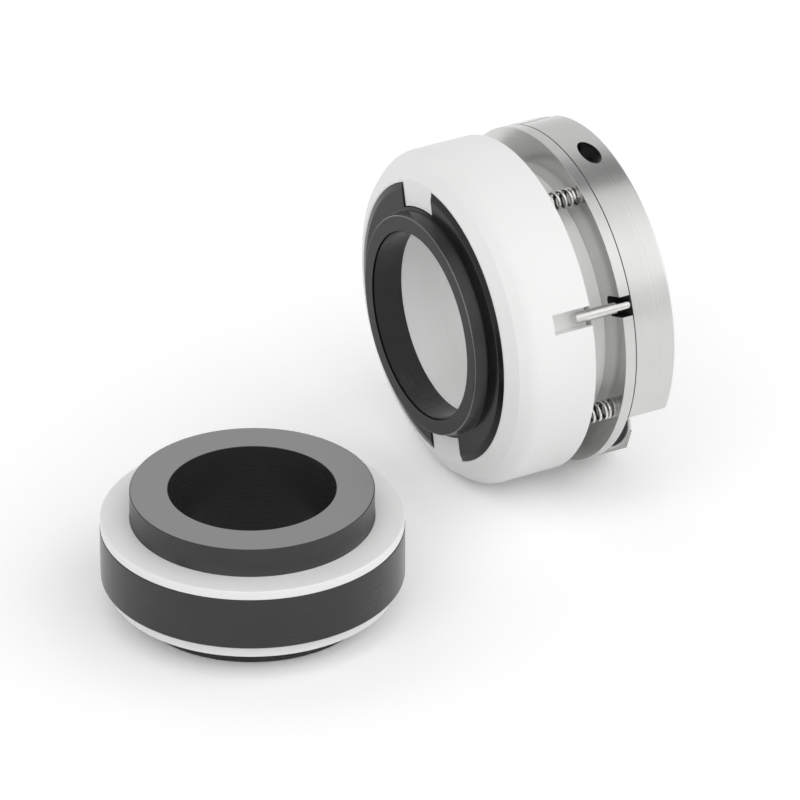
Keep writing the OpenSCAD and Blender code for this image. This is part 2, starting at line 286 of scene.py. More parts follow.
# Steel without marks that run round the head's axis. The stretch sets how finely its
# scratches repeat along each axis.

plainPattern = {"patchScale": 300.0, "shadeBand": (0.3, 0.7), "scratchRough": 0.14,
                "patchRough": 0.1, "relief": 0.00001}
plainLooks = {
    "pinSteel": {
        "colour": (0.74, 0.73, 0.71), "shade": (0.6, 0.59, 0.57), "rough": 0.13,
        "bump": 0.06, "stretch": (300, 4000, 4000), "metallic": 1.0},
    "springSteel": {
        "colour": (0.75, 0.74, 0.72), "shade": (0.62, 0.61, 0.59), "rough": 0.2,
        "bump": 0.1, "stretch": (2500, 2500, 2500), "metallic": 1.0},
    "screwSteel": {
        "colour": (0.05, 0.05, 0.052), "shade": (0.025, 0.025, 0.027), "rough": 0.38,
        "bump": 0.2, "stretch": (1800, 1800, 1800), "metallic": 0.6},
    # Painted shade: near-black, dull steel for faces where shade falls
    "shadedSteel": {
        "colour": (0.03, 0.03, 0.03), "shade": (0.015, 0.015, 0.015), "rough": 0.5,
        "bump": 0.1, "stretch": (1500, 1500, 1500), "metallic": 0.3},
    # Milled steel: rougher, and darker in colour as painted shade of the pocket's recess
    "milledAndShadedSteel": {
        "colour": (0.40, 0.40, 0.39), "shade": (0.32, 0.32, 0.31), "rough": 0.34,
        "bump": 0.2, "stretch": (1500, 1500, 1500), "metallic": 1.0},
    # Painted highlight: pale, barely metallic steel that stands in for the light caught in the
    # screw head's hole
    "paintedHighlightSteel": {
        "colour": (0.92, 0.92, 0.91), "shade": (0.84, 0.84, 0.83), "rough": 0.3,
        "bump": 0.1, "stretch": (1500, 1500, 1500), "metallic": 0.3},
}


def plainMaterial(name, look):
    pattern = plainPattern
    material, graph = newMaterial(name)
    place = graph.add("ShaderNodeTexCoord", {}, {}, "Object")
    stretched = graph.add("ShaderNodeMapping", {"vector_type": "POINT"}, {
        "Vector": place, "Scale": look["stretch"]})
    scratch = graph.noise(stretched, 1.0, detail=4.0, roughness=0.65)
    patch = graph.noise(place, pattern["patchScale"], detail=2.0)
    rough = (look["rough"] + scratch.swing() * pattern["scratchRough"]
             + patch.swing() * pattern["patchRough"])
    finishMaterial(graph, {
        "Base Color": graph.mix(scratch.step(*pattern["shadeBand"]),
                                look["shade"], look["colour"]),
        "Metallic": look["metallic"],
        "Roughness": rough,
        "Normal": graph.bump(scratch, look["bump"], pattern["relief"]),
    })
    return material


ptfeOnHead = ptfeMaterial("ptfeOnHead", headAxis, ptfeLook)
ptfeOnSeat = ptfeMaterial("ptfeOnSeat", seatAxis, ptfeLook)
polishedCarbide = {"colour": (0.008, 0.008, 0.009), "fleck": (0.015, 0.015, 0.016),
                   "rough": 0.16, "marks": 0.05, "bump": 0.08, "ior": 1.27}
groundCarbide = {"colour": (0.026, 0.026, 0.027), "fleck": (0.042, 0.042, 0.043),
                 "rough": 0.26, "marks": 0.08, "bump": 0.15, "ior": 1.42}
lappedCarbide = {"colour": (0.04, 0.04, 0.041), "fleck": (0.06, 0.06, 0.062),
                 "rough": 0.24, "marks": 0.04, "bump": 0.04, "ior": 3.2}
# Near-black carbide that reflects almost nothing, for painted shade on the ring's bore edge
paintedShadeCarbide = {"colour": (0.002, 0.002, 0.002), "fleck": (0.004, 0.004, 0.004),
                 "rough": 0.5, "marks": 0.04, "bump": 0.04, "ior": 1.05}
carbideOnHead = carbideMaterial("carbideOnHead", headAxis, polishedCarbide)
carbideOnSeat = carbideMaterial("carbideOnSeat", seatAxis, groundCarbide)
carbideSeatFace = carbideMaterial("carbideSeatFace", seatAxis, lappedCarbide)
carbideHeadSides = carbideMaterial("carbideHeadSides", headAxis,
                                   dict(groundCarbide, bump=0.04, marks=0.03))
carbideHeadEdge = carbideMaterial("carbideHeadEdge", headAxis, dict(lappedCarbide, ior=2.1))
carbideBoreEdgeShade = carbideMaterial("carbideBoreEdgeShade", headAxis, paintedShadeCarbide)
turnedSteel = turnedMaterial("turnedSteel", headAxis, turnedLook)
pinSteel, springSteel, screwSteel, shadedSteel, milledAndShadedSteel, paintedHighlightSteel = [
    plainMaterial(name, look) for name, look in plainLooks.items()]
print("materials made")


# Shapes. A cutting shape runs past the piece that it cuts, by the overcut at its ends and out
# to the clear radius, which lies outside every piece of the head.

overcut = 1
clearRadius = 45
roundSegments = 4
roundProfile = 0.5
mergeDistance = 0.0001


# The head's frame at a clock angle: X points outwards, Y on round the clock, Z along the head
def clockFrame(angle):
    turn = math.radians(angle)
    sine, cosine = math.sin(turn), math.cos(turn)
    return Matrix(((0, 0, 1, 0), (-sine, -cosine, 0, 0), (cosine, -sine, 0, 0), (0, 0, 0, 1)))


# A closed outline of (radius, height) points, spun about Z. Rounds give an edge radius to
# corners, by their number in the outline.
def spun(outline, rounds, steps=256):
    shape = bmesh.new()
    corners = [shape.verts.new((radius, 0, height)) for radius, height in outline]
    onAxis = [radius == 0 for radius, height in outline]
    for number, corner in enumerate(corners):
        following = (number + 1) % len(corners)
        if not (onAxis[number] and onAxis[following]):
            shape.edges.new((corner, corners[following]))
    for size in sorted(set(rounds.values())):
        chosen = [corners[number] for number in rounds if rounds[number] == size]
        bmesh.ops.bevel(shape, geom=chosen, offset=size, offset_type="OFFSET",
                        segments=roundSegments, profile=roundProfile, affect="VERTICES",
                        material=-1, clamp_overlap=False)
    bmesh.ops.spin(shape, geom=shape.verts[:] + shape.edges[:], cent=(0, 0, 0),
                   axis=(0, 0, 1), angle=fullTurn, steps=steps, use_merge=True)
    bmesh.ops.remove_doubles(shape, verts=shape.verts[:], dist=mergeDistance)
    bmesh.ops.recalc_face_normals(shape, faces=shape.faces[:])
    return shape


# A block between two corners, with its edges along Z rounded where radius is given
def block(low, high, radius=0.0, segments=8):
    shape = bmesh.new()
    bmesh.ops.create_cube(shape, size=1)
    size = [end - start for start, end in zip(low, high)]
    middle = [(start + end) / 2 for start, end in zip(low, high)]
    bmesh.ops.scale(shape, vec=size, verts=shape.verts[:])
    bmesh.ops.translate(shape, vec=middle, verts=shape.verts[:])
    if radius:
        standing = [edge for edge in shape.edges
                    if abs(edge.verts[0].co.z - edge.verts[1].co.z) > size[2] / 2]
        bmesh.ops.bevel(shape, geom=standing, offset=radius, offset_type="OFFSET",
                        segments=segments, profile=roundProfile, affect="EDGES",
                        material=-1)
    return shape


# A round or tapered bar along -Y at (x, z), for the holes across the collar
def bar(x, z, start, end, radius, endRadius=None, steps=48):
    shape = bmesh.new()
    bmesh.ops.create_cone(shape, cap_ends=True, segments=steps, radius1=radius,
                          radius2=endRadius or radius, depth=abs(end - start))
    bmesh.ops.rotate(shape, cent=(0, 0, 0), matrix=Matrix.Rotation(math.pi / 2, 3, "X"),
                     verts=shape.verts[:])
    bmesh.ops.translate(shape, vec=(x, (start + end) / 2, z), verts=shape.verts[:])
    return shape


# A round bar along Z at (x, 0)
def post(x, low, high, radius, steps=48):
    shape = bmesh.new()
    bmesh.ops.create_cone(shape, cap_ends=True, segments=steps, radius1=radius,
                          radius2=radius, depth=high - low)
    bmesh.ops.translate(shape, vec=(x, 0, (low + high) / 2), verts=shape.verts[:])
    return shape


# A prism with corners given as (x, z), between two places along Y
def prism(corners, start, end):
    shape = bmesh.new()
    side = shape.faces.new([shape.verts.new((x, start, z)) for x, z in corners])
    far = bmesh.ops.extrude_face_region(shape, geom=[side])["geom"]
    moved = [item for item in far if isinstance(item, bmesh.types.BMVert)]
    bmesh.ops.translate(shape, vec=(0, end - start, 0), verts=moved)
    bmesh.ops.recalc_face_normals(shape, faces=shape.faces[:])
    return shape


# Part of a ring between two radii, with parallel sides. It is spun a little wider than it
# has to be, and its sides are then cut.
def keystone(inner, outer, low, high, halfWidth, spare=1.2, steps=24):
    shape = bmesh.new()
    spread = spare * math.asin(halfWidth / inner)
    corners = [shape.verts.new((radius, 0, height)) for radius, height in
               ((inner, low), (outer, low), (outer, high), (inner, high))]
    for first, second in zip(corners, corners[1:] + corners[:1]):
        shape.edges.new((first, second))
    bmesh.ops.rotate(shape, cent=(0, 0, 0), verts=shape.verts[:],
                     matrix=Matrix.Rotation(-spread, 3, "Z"))
    bmesh.ops.spin(shape, geom=shape.verts[:] + shape.edges[:], cent=(0, 0, 0),
                   axis=(0, 0, 1), angle=2 * spread, steps=steps)
    for side in (-1, 1):
        bmesh.ops.bisect_plane(shape, geom=shape.verts[:] + shape.edges[:] + shape.faces[:],
                               plane_co=(0, side * halfWidth, 0), plane_no=(0, side, 0),
                               clear_outer=True)
    bmesh.ops.holes_fill(shape, edges=shape.edges[:], sides=0)
    bmesh.ops.recalc_face_normals(shape, faces=shape.faces[:])
    return shape


def placed(shape, place):
    bmesh.ops.transform(shape, matrix=place, verts=shape.verts[:])
    return shape


def toObject(shape, name):
    mesh = bpy.data.meshes.new(name)
    bmesh.ops.scale(shape, vec=(millimetre,) * 3, verts=shape.verts[:])
    shape.to_mesh(mesh)
    shape.free()
    thing = bpy.data.objects.new(name, mesh)
    bpy.context.scene.collection.objects.link(thing)
    return thing


# Adds and cuts shapes, breaks the edges that are sharper than an angle in degrees and gives
# clean shading, then keeps the result
def worked(thing, added=(), cut=(), edge=0.0, segments=2, sharpAngle=40, flatWeight=60):
    helpers = []
    for operation, shapes in (("UNION", added), ("DIFFERENCE", cut)):
        for shape in shapes:
            helper = toObject(shape, "helper")
            helpers.append(helper)
            boolean = thing.modifiers.new("shape", "BOOLEAN")
            boolean.operation, boolean.solver, boolean.object = operation, "EXACT", helper
    if edge:
        bevel = thing.modifiers.new("edges", "BEVEL")
        bevel.width, bevel.segments = edge * millimetre, segments
        bevel.limit_method, bevel.angle_limit = "ANGLE", math.radians(sharpAngle)
        bevel.use_clamp_overlap = True
    thing.data.shade_smooth()
    weighted = thing.modifiers.new("shading", "WEIGHTED_NORMAL")
    weighted.mode, weighted.weight, weighted.keep_sharp = "FACE_AREA", flatWeight, True
    bpy.context.view_layer.update()
    graph = bpy.context.evaluated_depsgraph_get()
    kept = bpy.data.meshes.new_from_object(thing.evaluated_get(graph))
    thing.modifiers.clear()
    thing.data = kept
    kept.name = thing.name
    for helper in helpers:
        bpy.data.objects.remove(helper)
    return thing


# Gives a piece its finish, hides the frame's part that it stands for and attaches it to the body
# that it rides on. A piece that bends between two bodies is given none here.
def settle(thing, material, body, node):
    thing.data.materials.clear()
    thing.data.materials.append(material)
    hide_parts(node)
    if body:
        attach(thing, body)
    print(f"{thing.name}: {len(thing.data.polygons)} faces")
    return thing


# Gives some of a piece's faces a finish of their own, painted shade or a painted highlight. The
# test takes a face's centre, in millimetres, and its normal.
def finishAndPaintFaces(thing, material, test):
    thing.data.materials.append(material)
    for face in thing.data.polygons:
        if test(face.center / millimetre, face.normal):
            face.material_index = len(thing.data.materials) - 1


# PTFE body with its folds and tail, one turned piece. In the seal it bends between the floating
# face and the collar: the body rides forwards and back, the folds close, and the tail stays
# clamped. Here it is drawn at rest and rides on no body.

ptfeBody = {
    "outer": 37.4, "length": 19.3, "recess": 31.15, "recessDepth": 3.85, "ringBore": 20.9,
    "bevelAcross": 3.1, "bevelAlong": 1.7, "roundAcross": 2.4, "roundAlong": 4.2,
    "taperShare": 0.66, "roundShare": 0.34,
    "shaft": 17.5, "throat": -8.4, "trench": 29.6, "foldStart": -1.55, "foldPitch": 4.42,
    "foldGap": 1.2, "foldWall": 1.0, "folds": 2, "crest": 28.8, "root": 18.7, "tail": 23.5,
    "tailEnd": 19.7, "cutEdge": 0.12,
    "rounds": {"recess": 0.18, "front": 0.2, "bevelEnd": 0.08, "rear": 0.3, "trench": 0.25,
               "fold": 0.2, "lastFold": 0.05, "tail": 0.3, "throat": 0.6},
}
lug = {"angles": (-13.5, 166.5), "halfWidth": 6.25, "tip": 25.9, "sunk": 0.3}
driveSlot = {"angles": (69.4, 249.4), "width": 4.4, "length": 9.3, "floor": 33.4}
springSeat = {"angles": (24.5, 114.5, 204.5, 294.5), "circle": 33.25, "radius": 2.5,
              "depth": 6.0}


# The outline runs round the recess and the rim, over the folds' outside to the tail, and back
# through the folds' inside to the throat
def makePtfeBody(size):
    edges = size["rounds"]
    front, recessFloor = -size["length"], -size["length"] + size["recessDepth"]
    bevelEnd, bevelRadius = front + size["bevelAlong"], size["outer"] - size["roundAcross"]
    taperEnd = bevelEnd + size["roundAlong"] * size["taperShare"]
    outline = [(size["ringBore"], recessFloor), (size["recess"], recessFloor),
               (size["recess"], front), (bevelRadius - size["bevelAcross"], front),
               (bevelRadius, bevelEnd), (size["outer"], taperEnd),
               (size["outer"], 0), (size["trench"], 0), (size["trench"], size["foldStart"])]
    rounds = {2: edges["recess"], 3: edges["front"], 4: edges["bevelEnd"],
              5: size["roundAlong"] * size["roundShare"], 6: edges["rear"],
              7: edges["trench"]}
    for fold in range(size["folds"]):
        start = size["foldStart"] + fold * size["foldPitch"]
        crest = start + size["foldGap"]
        outline += [(size["root"], start), (size["root"], crest), (size["crest"], crest),
                    (size["crest"], start + size["foldPitch"])]
        rounds[len(outline) - 2] = rounds[len(outline) - 1] = edges["fold"]
    rounds[len(outline) - 1] = edges["lastFold"]
    foldsEnd = size["foldStart"] + size["folds"] * size["foldPitch"]
    outline += [(size["tail"], foldsEnd), (size["tail"], size["tailEnd"]),
                (size["shaft"], size["tailEnd"])]
    rounds[len(outline) - 2] = rounds[len(outline) - 1] = edges["tail"]
    for fold in reversed(range(size["folds"])):
        end = size["foldStart"] + (fold + 1) * size["foldPitch"] - size["foldWall"]
        begin = end - size["foldPitch"] + size["foldGap"] + 2 * size["foldWall"]
        depth = size["crest"] - size["foldWall"]
        outline += [(size["shaft"], end), (depth, end), (depth, begin), (size["shaft"], begin)]
    outline.append((size["shaft"], size["throat"]))
    rounds[len(outline) - 1] = edges["throat"]
    thing = toObject(placed(spun(outline, rounds), clockFrame(0)), "ptfeBody")
    lugs = [placed(keystone(lug["tip"], size["recess"] + lug["sunk"], front,
                            recessFloor + lug["sunk"], lug["halfWidth"]), clockFrame(angle))
            for angle in lug["angles"]]
    cuts = [placed(block((driveSlot["floor"], -driveSlot["width"] / 2, -driveSlot["length"]),
                         (clearRadius, driveSlot["width"] / 2, overcut)), clockFrame(angle))
            for angle in driveSlot["angles"]]
    cuts += [placed(post(springSeat["circle"], -springSeat["depth"], overcut,
                         springSeat["radius"]), clockFrame(angle))
             for angle in springSeat["angles"]]
    return worked(thing, added=lugs, cut=cuts, edge=size["cutEdge"])


body = settle(makePtfeBody(ptfeBody), ptfeOnHead, None, "ptfe_bellows")
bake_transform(body)


# How far a face looks along an axis, from 0 to 1. A side lies below the first share, an end
# above the second and a rounded edge between them. Flat faces are found by the third share,
# and the collar's corner bevels by the fourth, along their slope.

sideShare = 0.3
endShare = 0.97
flatShare = 0.9
slopeShare = 0.9995


# Face ring, with a notch for each lug. Its bands say how far a finish, and the painted shade on
# the bore's edge, reach from the ring's own corners, and how much the faces of the bore's edge
# look forwards at least.

faceRing = {"bore": ptfeBody["ringBore"], "outer": 31.1, "back": -15.45, "flange": -19.7,
            "running": -22.65, "nose": 24.5, "foot": 25.1, "bevelAcross": 1.5,
            "bevelAlong": 0.5, "play": 0.15, "notchEnd": 36, "cutEdge": 0.12,
            "rounds": {0: 0.15, 1: 0.15, 2: 0.15, 3: 0.25, 4: 0.25, 5: 0.25, 6: 0.35}}
ringBands = {"side": 0.1, "edge": 0.3, "boreEdge": 0.4, "boreTilt": 0.1}


def makeFaceRing(size):
    outline = [(size["bore"], size["back"]), (size["outer"], size["back"]),
               (size["outer"], size["flange"] + size["bevelAlong"]),
               (size["outer"] - size["bevelAcross"], size["flange"]),
               (size["foot"], size["flange"]), (size["nose"], size["running"]),
               (size["bore"], size["running"])]
    thing = toObject(placed(spun(outline, size["rounds"]), clockFrame(0)), "faceRing")
    cuts = [placed(keystone(lug["tip"] - size["play"], size["notchEnd"],
                            size["flange"] - overcut, size["back"] + overcut,
                            lug["halfWidth"] + size["play"]), clockFrame(angle))
            for angle in lug["angles"]]
    return worked(thing, cut=cuts, edge=size["cutEdge"])


def onRingSides(centre, normal):
    return (abs(normal.x) < sideShare
            and centre.yz.length < faceRing["foot"] + ringBands["side"])


def onNoseEdge(centre, normal):
    return (-endShare < normal.x < -sideShare
            and centre.yz.length > faceRing["nose"] - ringBands["edge"]
            and centre.x < faceRing["running"] + ringBands["edge"])


def onRingBoreEdge(centre, normal):
    return (-endShare < normal.x < -ringBands["boreTilt"]
            and centre.yz.length < faceRing["bore"] + ringBands["boreEdge"]
            and centre.x < faceRing["running"] + ringBands["boreEdge"])


headRing = settle(makeFaceRing(faceRing), carbideOnHead, "floating_face",
                  "face_ring")
finishAndPaintFaces(headRing, carbideHeadSides, onRingSides)
finishAndPaintFaces(headRing, carbideHeadEdge, onNoseEdge)
# The bore's edge is given painted shade: near-black carbide that reflects almost nothing
finishAndPaintFaces(headRing, carbideBoreEdgeShade, onRingBoreEdge)


# Springs: a wire circle carried round in a screw motion, with a closed turn at each end. The
# side of the wire that faces the coil's axis is given painted shade.

spring = {"diameter": 4.5, "wire": 0.7, "pitch": 1.56, "low": -5.98, "high": 7.28,
          "stepsPerTurn": 36, "sides": 14, "shade": -0.3}


def makeSpring(size):
    shape = bmesh.new()
    wireRadius = size["wire"] / 2
    bmesh.ops.create_circle(shape, cap_ends=False, radius=wireRadius, segments=size["sides"])
    bmesh.ops.rotate(shape, cent=(0, 0, 0), matrix=Matrix.Rotation(math.pi / 2, 3, "X"),
                     verts=shape.verts[:])
    bmesh.ops.translate(shape, verts=shape.verts[:], vec=(
        size["diameter"] / 2 - wireRadius, 0, size["low"] + wireRadius))
    # The wire itself and the rise of the two closed turns take three diameters of the wire
    climb = size["high"] - size["low"] - 3 * size["wire"]
    openTurns = climb / size["pitch"]
    front = shape.verts[:] + shape.edges[:]
    for turns, rise in ((1, size["wire"]), (openTurns, climb), (1, size["wire"])):
        steps = round(turns * size["stepsPerTurn"])
        result = bmesh.ops.spin(shape, geom=front, cent=(0, 0, 0), axis=(0, 0, 1),
                                dvec=(0, 0, rise / steps), angle=turns * fullTurn,
                                steps=steps)
        front = result["geom_last"]
    bmesh.ops.holes_fill(shape, edges=shape.edges[:], sides=0)
    bmesh.ops.recalc_face_normals(shape, faces=shape.faces[:])
    bmesh.ops.translate(shape, vec=(springSeat["circle"], 0, 0), verts=shape.verts[:])
    return shape


def shadeInside(coil, angle):
    coilFrame = clockFrame(angle).inverted()
    axis = Vector((springSeat["circle"], 0))

    def facesAxis(centre, normal):
        outwards = (coilFrame @ centre).xy - axis
        return outwards.dot((coilFrame @ normal).xy) < spring["shade"]

    finishAndPaintFaces(coil, shadedSteel, facesAxis)


for number, angle in enumerate(springSeat["angles"], 1):
    coil = toObject(placed(makeSpring(spring), clockFrame(angle)), f"spring{number}")
    worked(coil)
    settle(coil, springSteel, "collar", f"spring_{number}")
    shadeInside(coil, angle)
    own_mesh(coil)


# Spring plate, with an open notch for each drive pin. The notches and the edge that meets the
# collar are given painted shade. Tilts say how far the faces with painted shade look along X,
# and the width and the floor how far the painted shade reaches, in millimetres.

springPlate = {"bore": 23.8, "outer": ptfeBody["outer"], "front": 7.3, "back": 9.9,
               "notch": 4.5, "notchFloor": 31.5, "notchCorner": 1.2, "cutEdge": 0.12,
               "rounds": {0: 0.2, 1: 0.15, 2: 0.2, 3: 0.2}}
rimShade = {"notchTilt": 0.5, "tilt": 0.2, "width": 0.3, "floor": 0.1}


def makeSpringPlate(size):
    outline = [(size["bore"], size["front"]), (size["outer"], size["front"]),
               (size["outer"], size["back"]), (size["bore"], size["back"])]
    thing = toObject(placed(spun(outline, size["rounds"]), clockFrame(0)), "springPlate")
    cuts = [placed(block((size["notchFloor"], -size["notch"] / 2, size["front"] - overcut),
                         (clearRadius, size["notch"] / 2, size["back"] + overcut),
                         size["notchCorner"]), clockFrame(angle))
            for angle in driveSlot["angles"]]
    return worked(thing, cut=cuts, edge=size["cutEdge"])


def inNotch(centre, normal):
    return (abs(normal.x) < rimShade["notchTilt"]
            and springPlate["notchFloor"] - rimShade["floor"] < centre.yz.length
            < springPlate["outer"] - rimShade["width"])


def onPlateEdge(centre, normal):
    return (rimShade["tilt"] < normal.x < endShare
            and centre.yz.length > springPlate["outer"] - rimShade["width"])


plate = settle(makeSpringPlate(springPlate), turnedSteel, "collar",
               "spring_plate")
finishAndPaintFaces(plate, shadedSteel, inNotch)
finishAndPaintFaces(plate, shadedSteel, onPlateEdge)


# Clamp collar in two halves, drawn together by two screws. Each half is drawn in the frame of
# its split: the screw whose head it holds lies at +X, and the other one's thread at -X. The
# turns are each half's angle from the first, in degrees, and the bands say how far a finish,
# the painted shade and the painted highlight reach, in millimetres.

collar = {"bore": 23.55, "outer": ptfeBody["outer"], "front": springPlate["back"],
          "back": ptfeBody["tailEnd"], "turns": (0, 180), "split": 158.7, "gap": 0.4,
          "bevelAcross": 3.4, "bevelAlong": 2.0, "screwOff": 31.0, "screwMid": 14.8,
          "headLow": 4.3, "headHigh": 7.8, "chamfer": 0.35,
          "seatFace": 8.3, "pocketFloor": 26.35, "screwHole": 2.75, "headHole": 4.5,
          "thread": 2.52, "threadLength": 16.0, "drill": 2.15, "pinCircle": 35.7,
          "pinHole": 1.27, "pinSeat": 5.0, "pinAngle": driveSlot["angles"][0],
          "cutEdge": 0.15, "rounds": {0: 0.2, 1: 0.2, 2: 0.7, 3: 0.3}}
collarBands = {"notch": 1.9, "face": 0.1, "holeInside": -0.1, "holeOutside": 0.4}


def makeClampHalf(size, name, turn):
    outline = [(size["bore"], size["front"]), (size["outer"], size["front"]),
               (size["outer"], size["back"]), (size["bore"], size["back"])]
    place = clockFrame(size["split"] + turn)
    thing = toObject(placed(spun(outline, size["rounds"]), place), name)
    low, high, far = size["front"] - overcut, size["back"] + overcut, clearRadius
    off, mid, seatFace = size["screwOff"], size["screwMid"], size["seatFace"]
    pin = post(size["pinCircle"], low, size["front"] + size["pinSeat"], size["pinHole"])
    pinTurn = Matrix.Rotation(math.radians(size["pinAngle"] - size["split"]), 4, "Z")
    wall = (size["outer"] ** 2 - seatFace ** 2) ** 0.5
    bevel = prism(((wall - size["bevelAcross"], size["back"]),
                   (wall, size["back"] - size["bevelAlong"]),
                   (far, size["back"] - size["bevelAlong"]), (far, high),
                   (wall - size["bevelAcross"], high)), overcut, -seatFace - overcut)
    cuts = [block((-far, -size["gap"] / 2, low), (far, far, high)),
            block((size["pocketFloor"], -far, low), (far, -seatFace, high)), bevel,
            bar(off, mid, overcut, -size["headLow"] - overcut, size["screwHole"]),
            bar(off, mid, -size["headLow"], -seatFace - overcut, size["headHole"]),
            bar(off, mid, size["chamfer"] - seatFace, -size["chamfer"] - seatFace,
                size["headHole"], size["headHole"] + 2 * size["chamfer"]),
            bar(-off, mid, overcut, -size["threadLength"], size["thread"]),
            bar(-off, mid, overcut, -far, size["drill"]),
            placed(pin, pinTurn)]
    return worked(thing, cut=[placed(shape, place) for shape in cuts], edge=size["cutEdge"])


# The face behind a notch and the edge that meets the plate are given painted shade, the pocket
# and the corner bevel are milled steel with painted shade of the recess, and the screw head's
# hole is given a painted highlight
def finishAndPaintClampHalf(half, size, turn):
    pinFrame = clockFrame(size["pinAngle"] + turn).inverted()
    screwFrame = clockFrame(size["split"] + turn).inverted()
    slope = Vector((size["bevelAlong"], 0, size["bevelAcross"])).normalized()

    def behindNotch(centre, normal):
        local = pinFrame @ centre
        return normal.x < -flatShare and local.x > 0 and abs(local.y) < collarBands["notch"]

    def onFrontEdge(centre, normal):
        return (-endShare < normal.x < -rimShade["tilt"]
                and centre.yz.length > size["outer"] - rimShade["width"])

    def onSeatFace(centre, normal):
        return ((screwFrame @ normal).y < -flatShare
                and abs((screwFrame @ centre).y + size["seatFace"]) < collarBands["face"])

    def onPocketFloor(centre, normal):
        local = screwFrame @ centre
        return ((screwFrame @ normal).x > flatShare and local.y < -size["seatFace"]
                and abs(local.x - size["pocketFloor"]) < collarBands["face"])

    def onCornerBevel(centre, normal):
        return (screwFrame @ normal).dot(slope) > slopeShare

    def inHeadHole(centre, normal):
        local = screwFrame @ centre
        offset = math.hypot(local.x - size["screwOff"], local.z - size["screwMid"])
        return (collarBands["holeInside"] < offset - size["headHole"] < collarBands["holeOutside"]
                and -size["seatFace"] < local.y < -size["headLow"])

    finishAndPaintFaces(half, shadedSteel, behindNotch)
    finishAndPaintFaces(half, shadedSteel, onFrontEdge)
    finishAndPaintFaces(half, milledAndShadedSteel, onSeatFace)
    finishAndPaintFaces(half, milledAndShadedSteel, onPocketFloor)
    finishAndPaintFaces(half, milledAndShadedSteel, onCornerBevel)
    finishAndPaintFaces(half, paintedHighlightSteel, inHeadHole)


for number, turn in enumerate(collar["turns"], 1):
    half = makeClampHalf(collar, f"clampHalf{number}", turn)
    settle(half, turnedSteel, "collar", f"clamp_half_{number}")
    finishAndPaintClampHalf(half, collar, turn)


# Clamp screws with low heads

clampScrew = {"head": 4.25, "radius": 2.5, "length": 16.0, "hexFlats": 3.0, "hexDepth": 2.0,
              "hexSides": 6, "steps": 64, "cutEdge": 0.08, "rounds": {1: 0.6, 3: 0.15, 4: 0.4}}


def makeClampScrew(size, name, turn):
    low, high = collar["headLow"], collar["headHigh"]
    outline = [(0, low - size["length"]), (size["radius"], low - size["length"]),
               (size["radius"], low), (size["head"], low), (size["head"], high), (0, high)]
    shape = spun(outline, size["rounds"], size["steps"])
    lying = (Matrix.Translation((collar["screwOff"], 0, collar["screwMid"]))
             @ Matrix.Rotation(math.pi / 2, 4, "X"))
    place = clockFrame(collar["split"] + turn)
    thing = toObject(placed(placed(shape, lying), place), name)
    hexRadius = size["hexFlats"] / 2 / math.cos(math.pi / size["hexSides"])
    socket = post(0, high - size["hexDepth"], high + overcut, hexRadius, size["hexSides"])
    return worked(thing, cut=[placed(placed(socket, lying), place)], edge=size["cutEdge"])


for number, turn in enumerate(collar["turns"], 1):
    screw = makeClampScrew(clampScrew, f"clampScrew{number}", turn)
    settle(screw, screwSteel, "collar", f"clamp_screw_{number}")


# Drive pins with a domed tip that has a centre mark

drivePin = {"radius": 1.25, "circle": collar["pinCircle"], "tip": -3.4, "end": 14.9, "mark": 0.3,
            "steps": 64, "rounds": {1: 0.08, 2: 0.5, 3: 0.1}}


def makeDrivePin(size, name, angle):
    outline = [(0, size["tip"] + size["mark"]), (size["mark"], size["tip"]),
               (size["radius"], size["tip"]), (size["radius"], size["end"]),
               (0, size["end"])]
    shape = spun(outline, size["rounds"], size["steps"])
    bmesh.ops.translate(shape, vec=(size["circle"], 0, 0), verts=shape.verts[:])
    return worked(toObject(placed(shape, clockFrame(angle)), name))


for number, angle in enumerate(driveSlot["angles"], 1):
    pin = makeDrivePin(drivePin, f"drivePin{number}", angle)
    settle(pin, pinSteel, "collar", f"drive_pin_{number}")


# Seat and its two gaskets, standing on end. The seat's top is its running face.

seat = {"bore": 17.8, "foot": 25.2, "flange": 32.3, "nose": 25.9, "ground": -37.4,
        "flangeBottom": -29.8, "flangeTop": -18.0, "top": -9.6, "topBand": 0.5, "level": 0.99,
        "rounds": {0: 0.1, 1: 0.4, 3: 0.4, 4: 0.4, 6: 0.2, 7: 0.12}}
seatPlace = Matrix.Translation(seatCentre)


def makeSeatRing(size):
    outline = [(size["bore"], size["ground"]), (size["foot"], size["ground"]),
               (size["foot"], size["flangeBottom"]), (size["flange"], size["flangeBottom"]),
               (size["flange"], size["flangeTop"]), (size["nose"], size["flangeTop"]),
               (size["nose"], size["top"]), (size["bore"], size["top"])]
    return worked(toObject(placed(spun(outline, size["rounds"]), seatPlace), "seatRing"))


def onSeatTop(centre, normal):
    return normal.z > seat["level"] and centre.z > seat["top"] - seat["topBand"]


ring = settle(makeSeatRing(seat), carbideOnSeat, "collar", "seat_ring")
finishAndPaintFaces(ring, carbideSeatFace, onSeatTop)

gaskets = {
    "upperGasket": {"node": "upper_gasket", "inner": 25.95, "outer": 32.2,
                    "low": seat["flangeTop"], "high": -16.0,
                    "rounds": {0: 0.1, 1: 0.12, 2: 0.25, 3: 0.12}},
    "lowerGasket": {"node": "lower_gasket", "inner": 25.25, "outer": 30.5,
                    "low": -32.8, "high": seat["flangeBottom"],
                    "rounds": {0: 0.15, 1: 0.25, 2: 0.12, 3: 0.1}},
}
for name, size in gaskets.items():
    outline = [(size["inner"], size["low"]), (size["outer"], size["low"]),
               (size["outer"], size["high"]), (size["inner"], size["high"])]
    gasket = worked(toObject(placed(spun(outline, size["rounds"]), seatPlace), name))
    settle(gasket, ptfeOnSeat, "collar", size["node"])
print("pieces made")


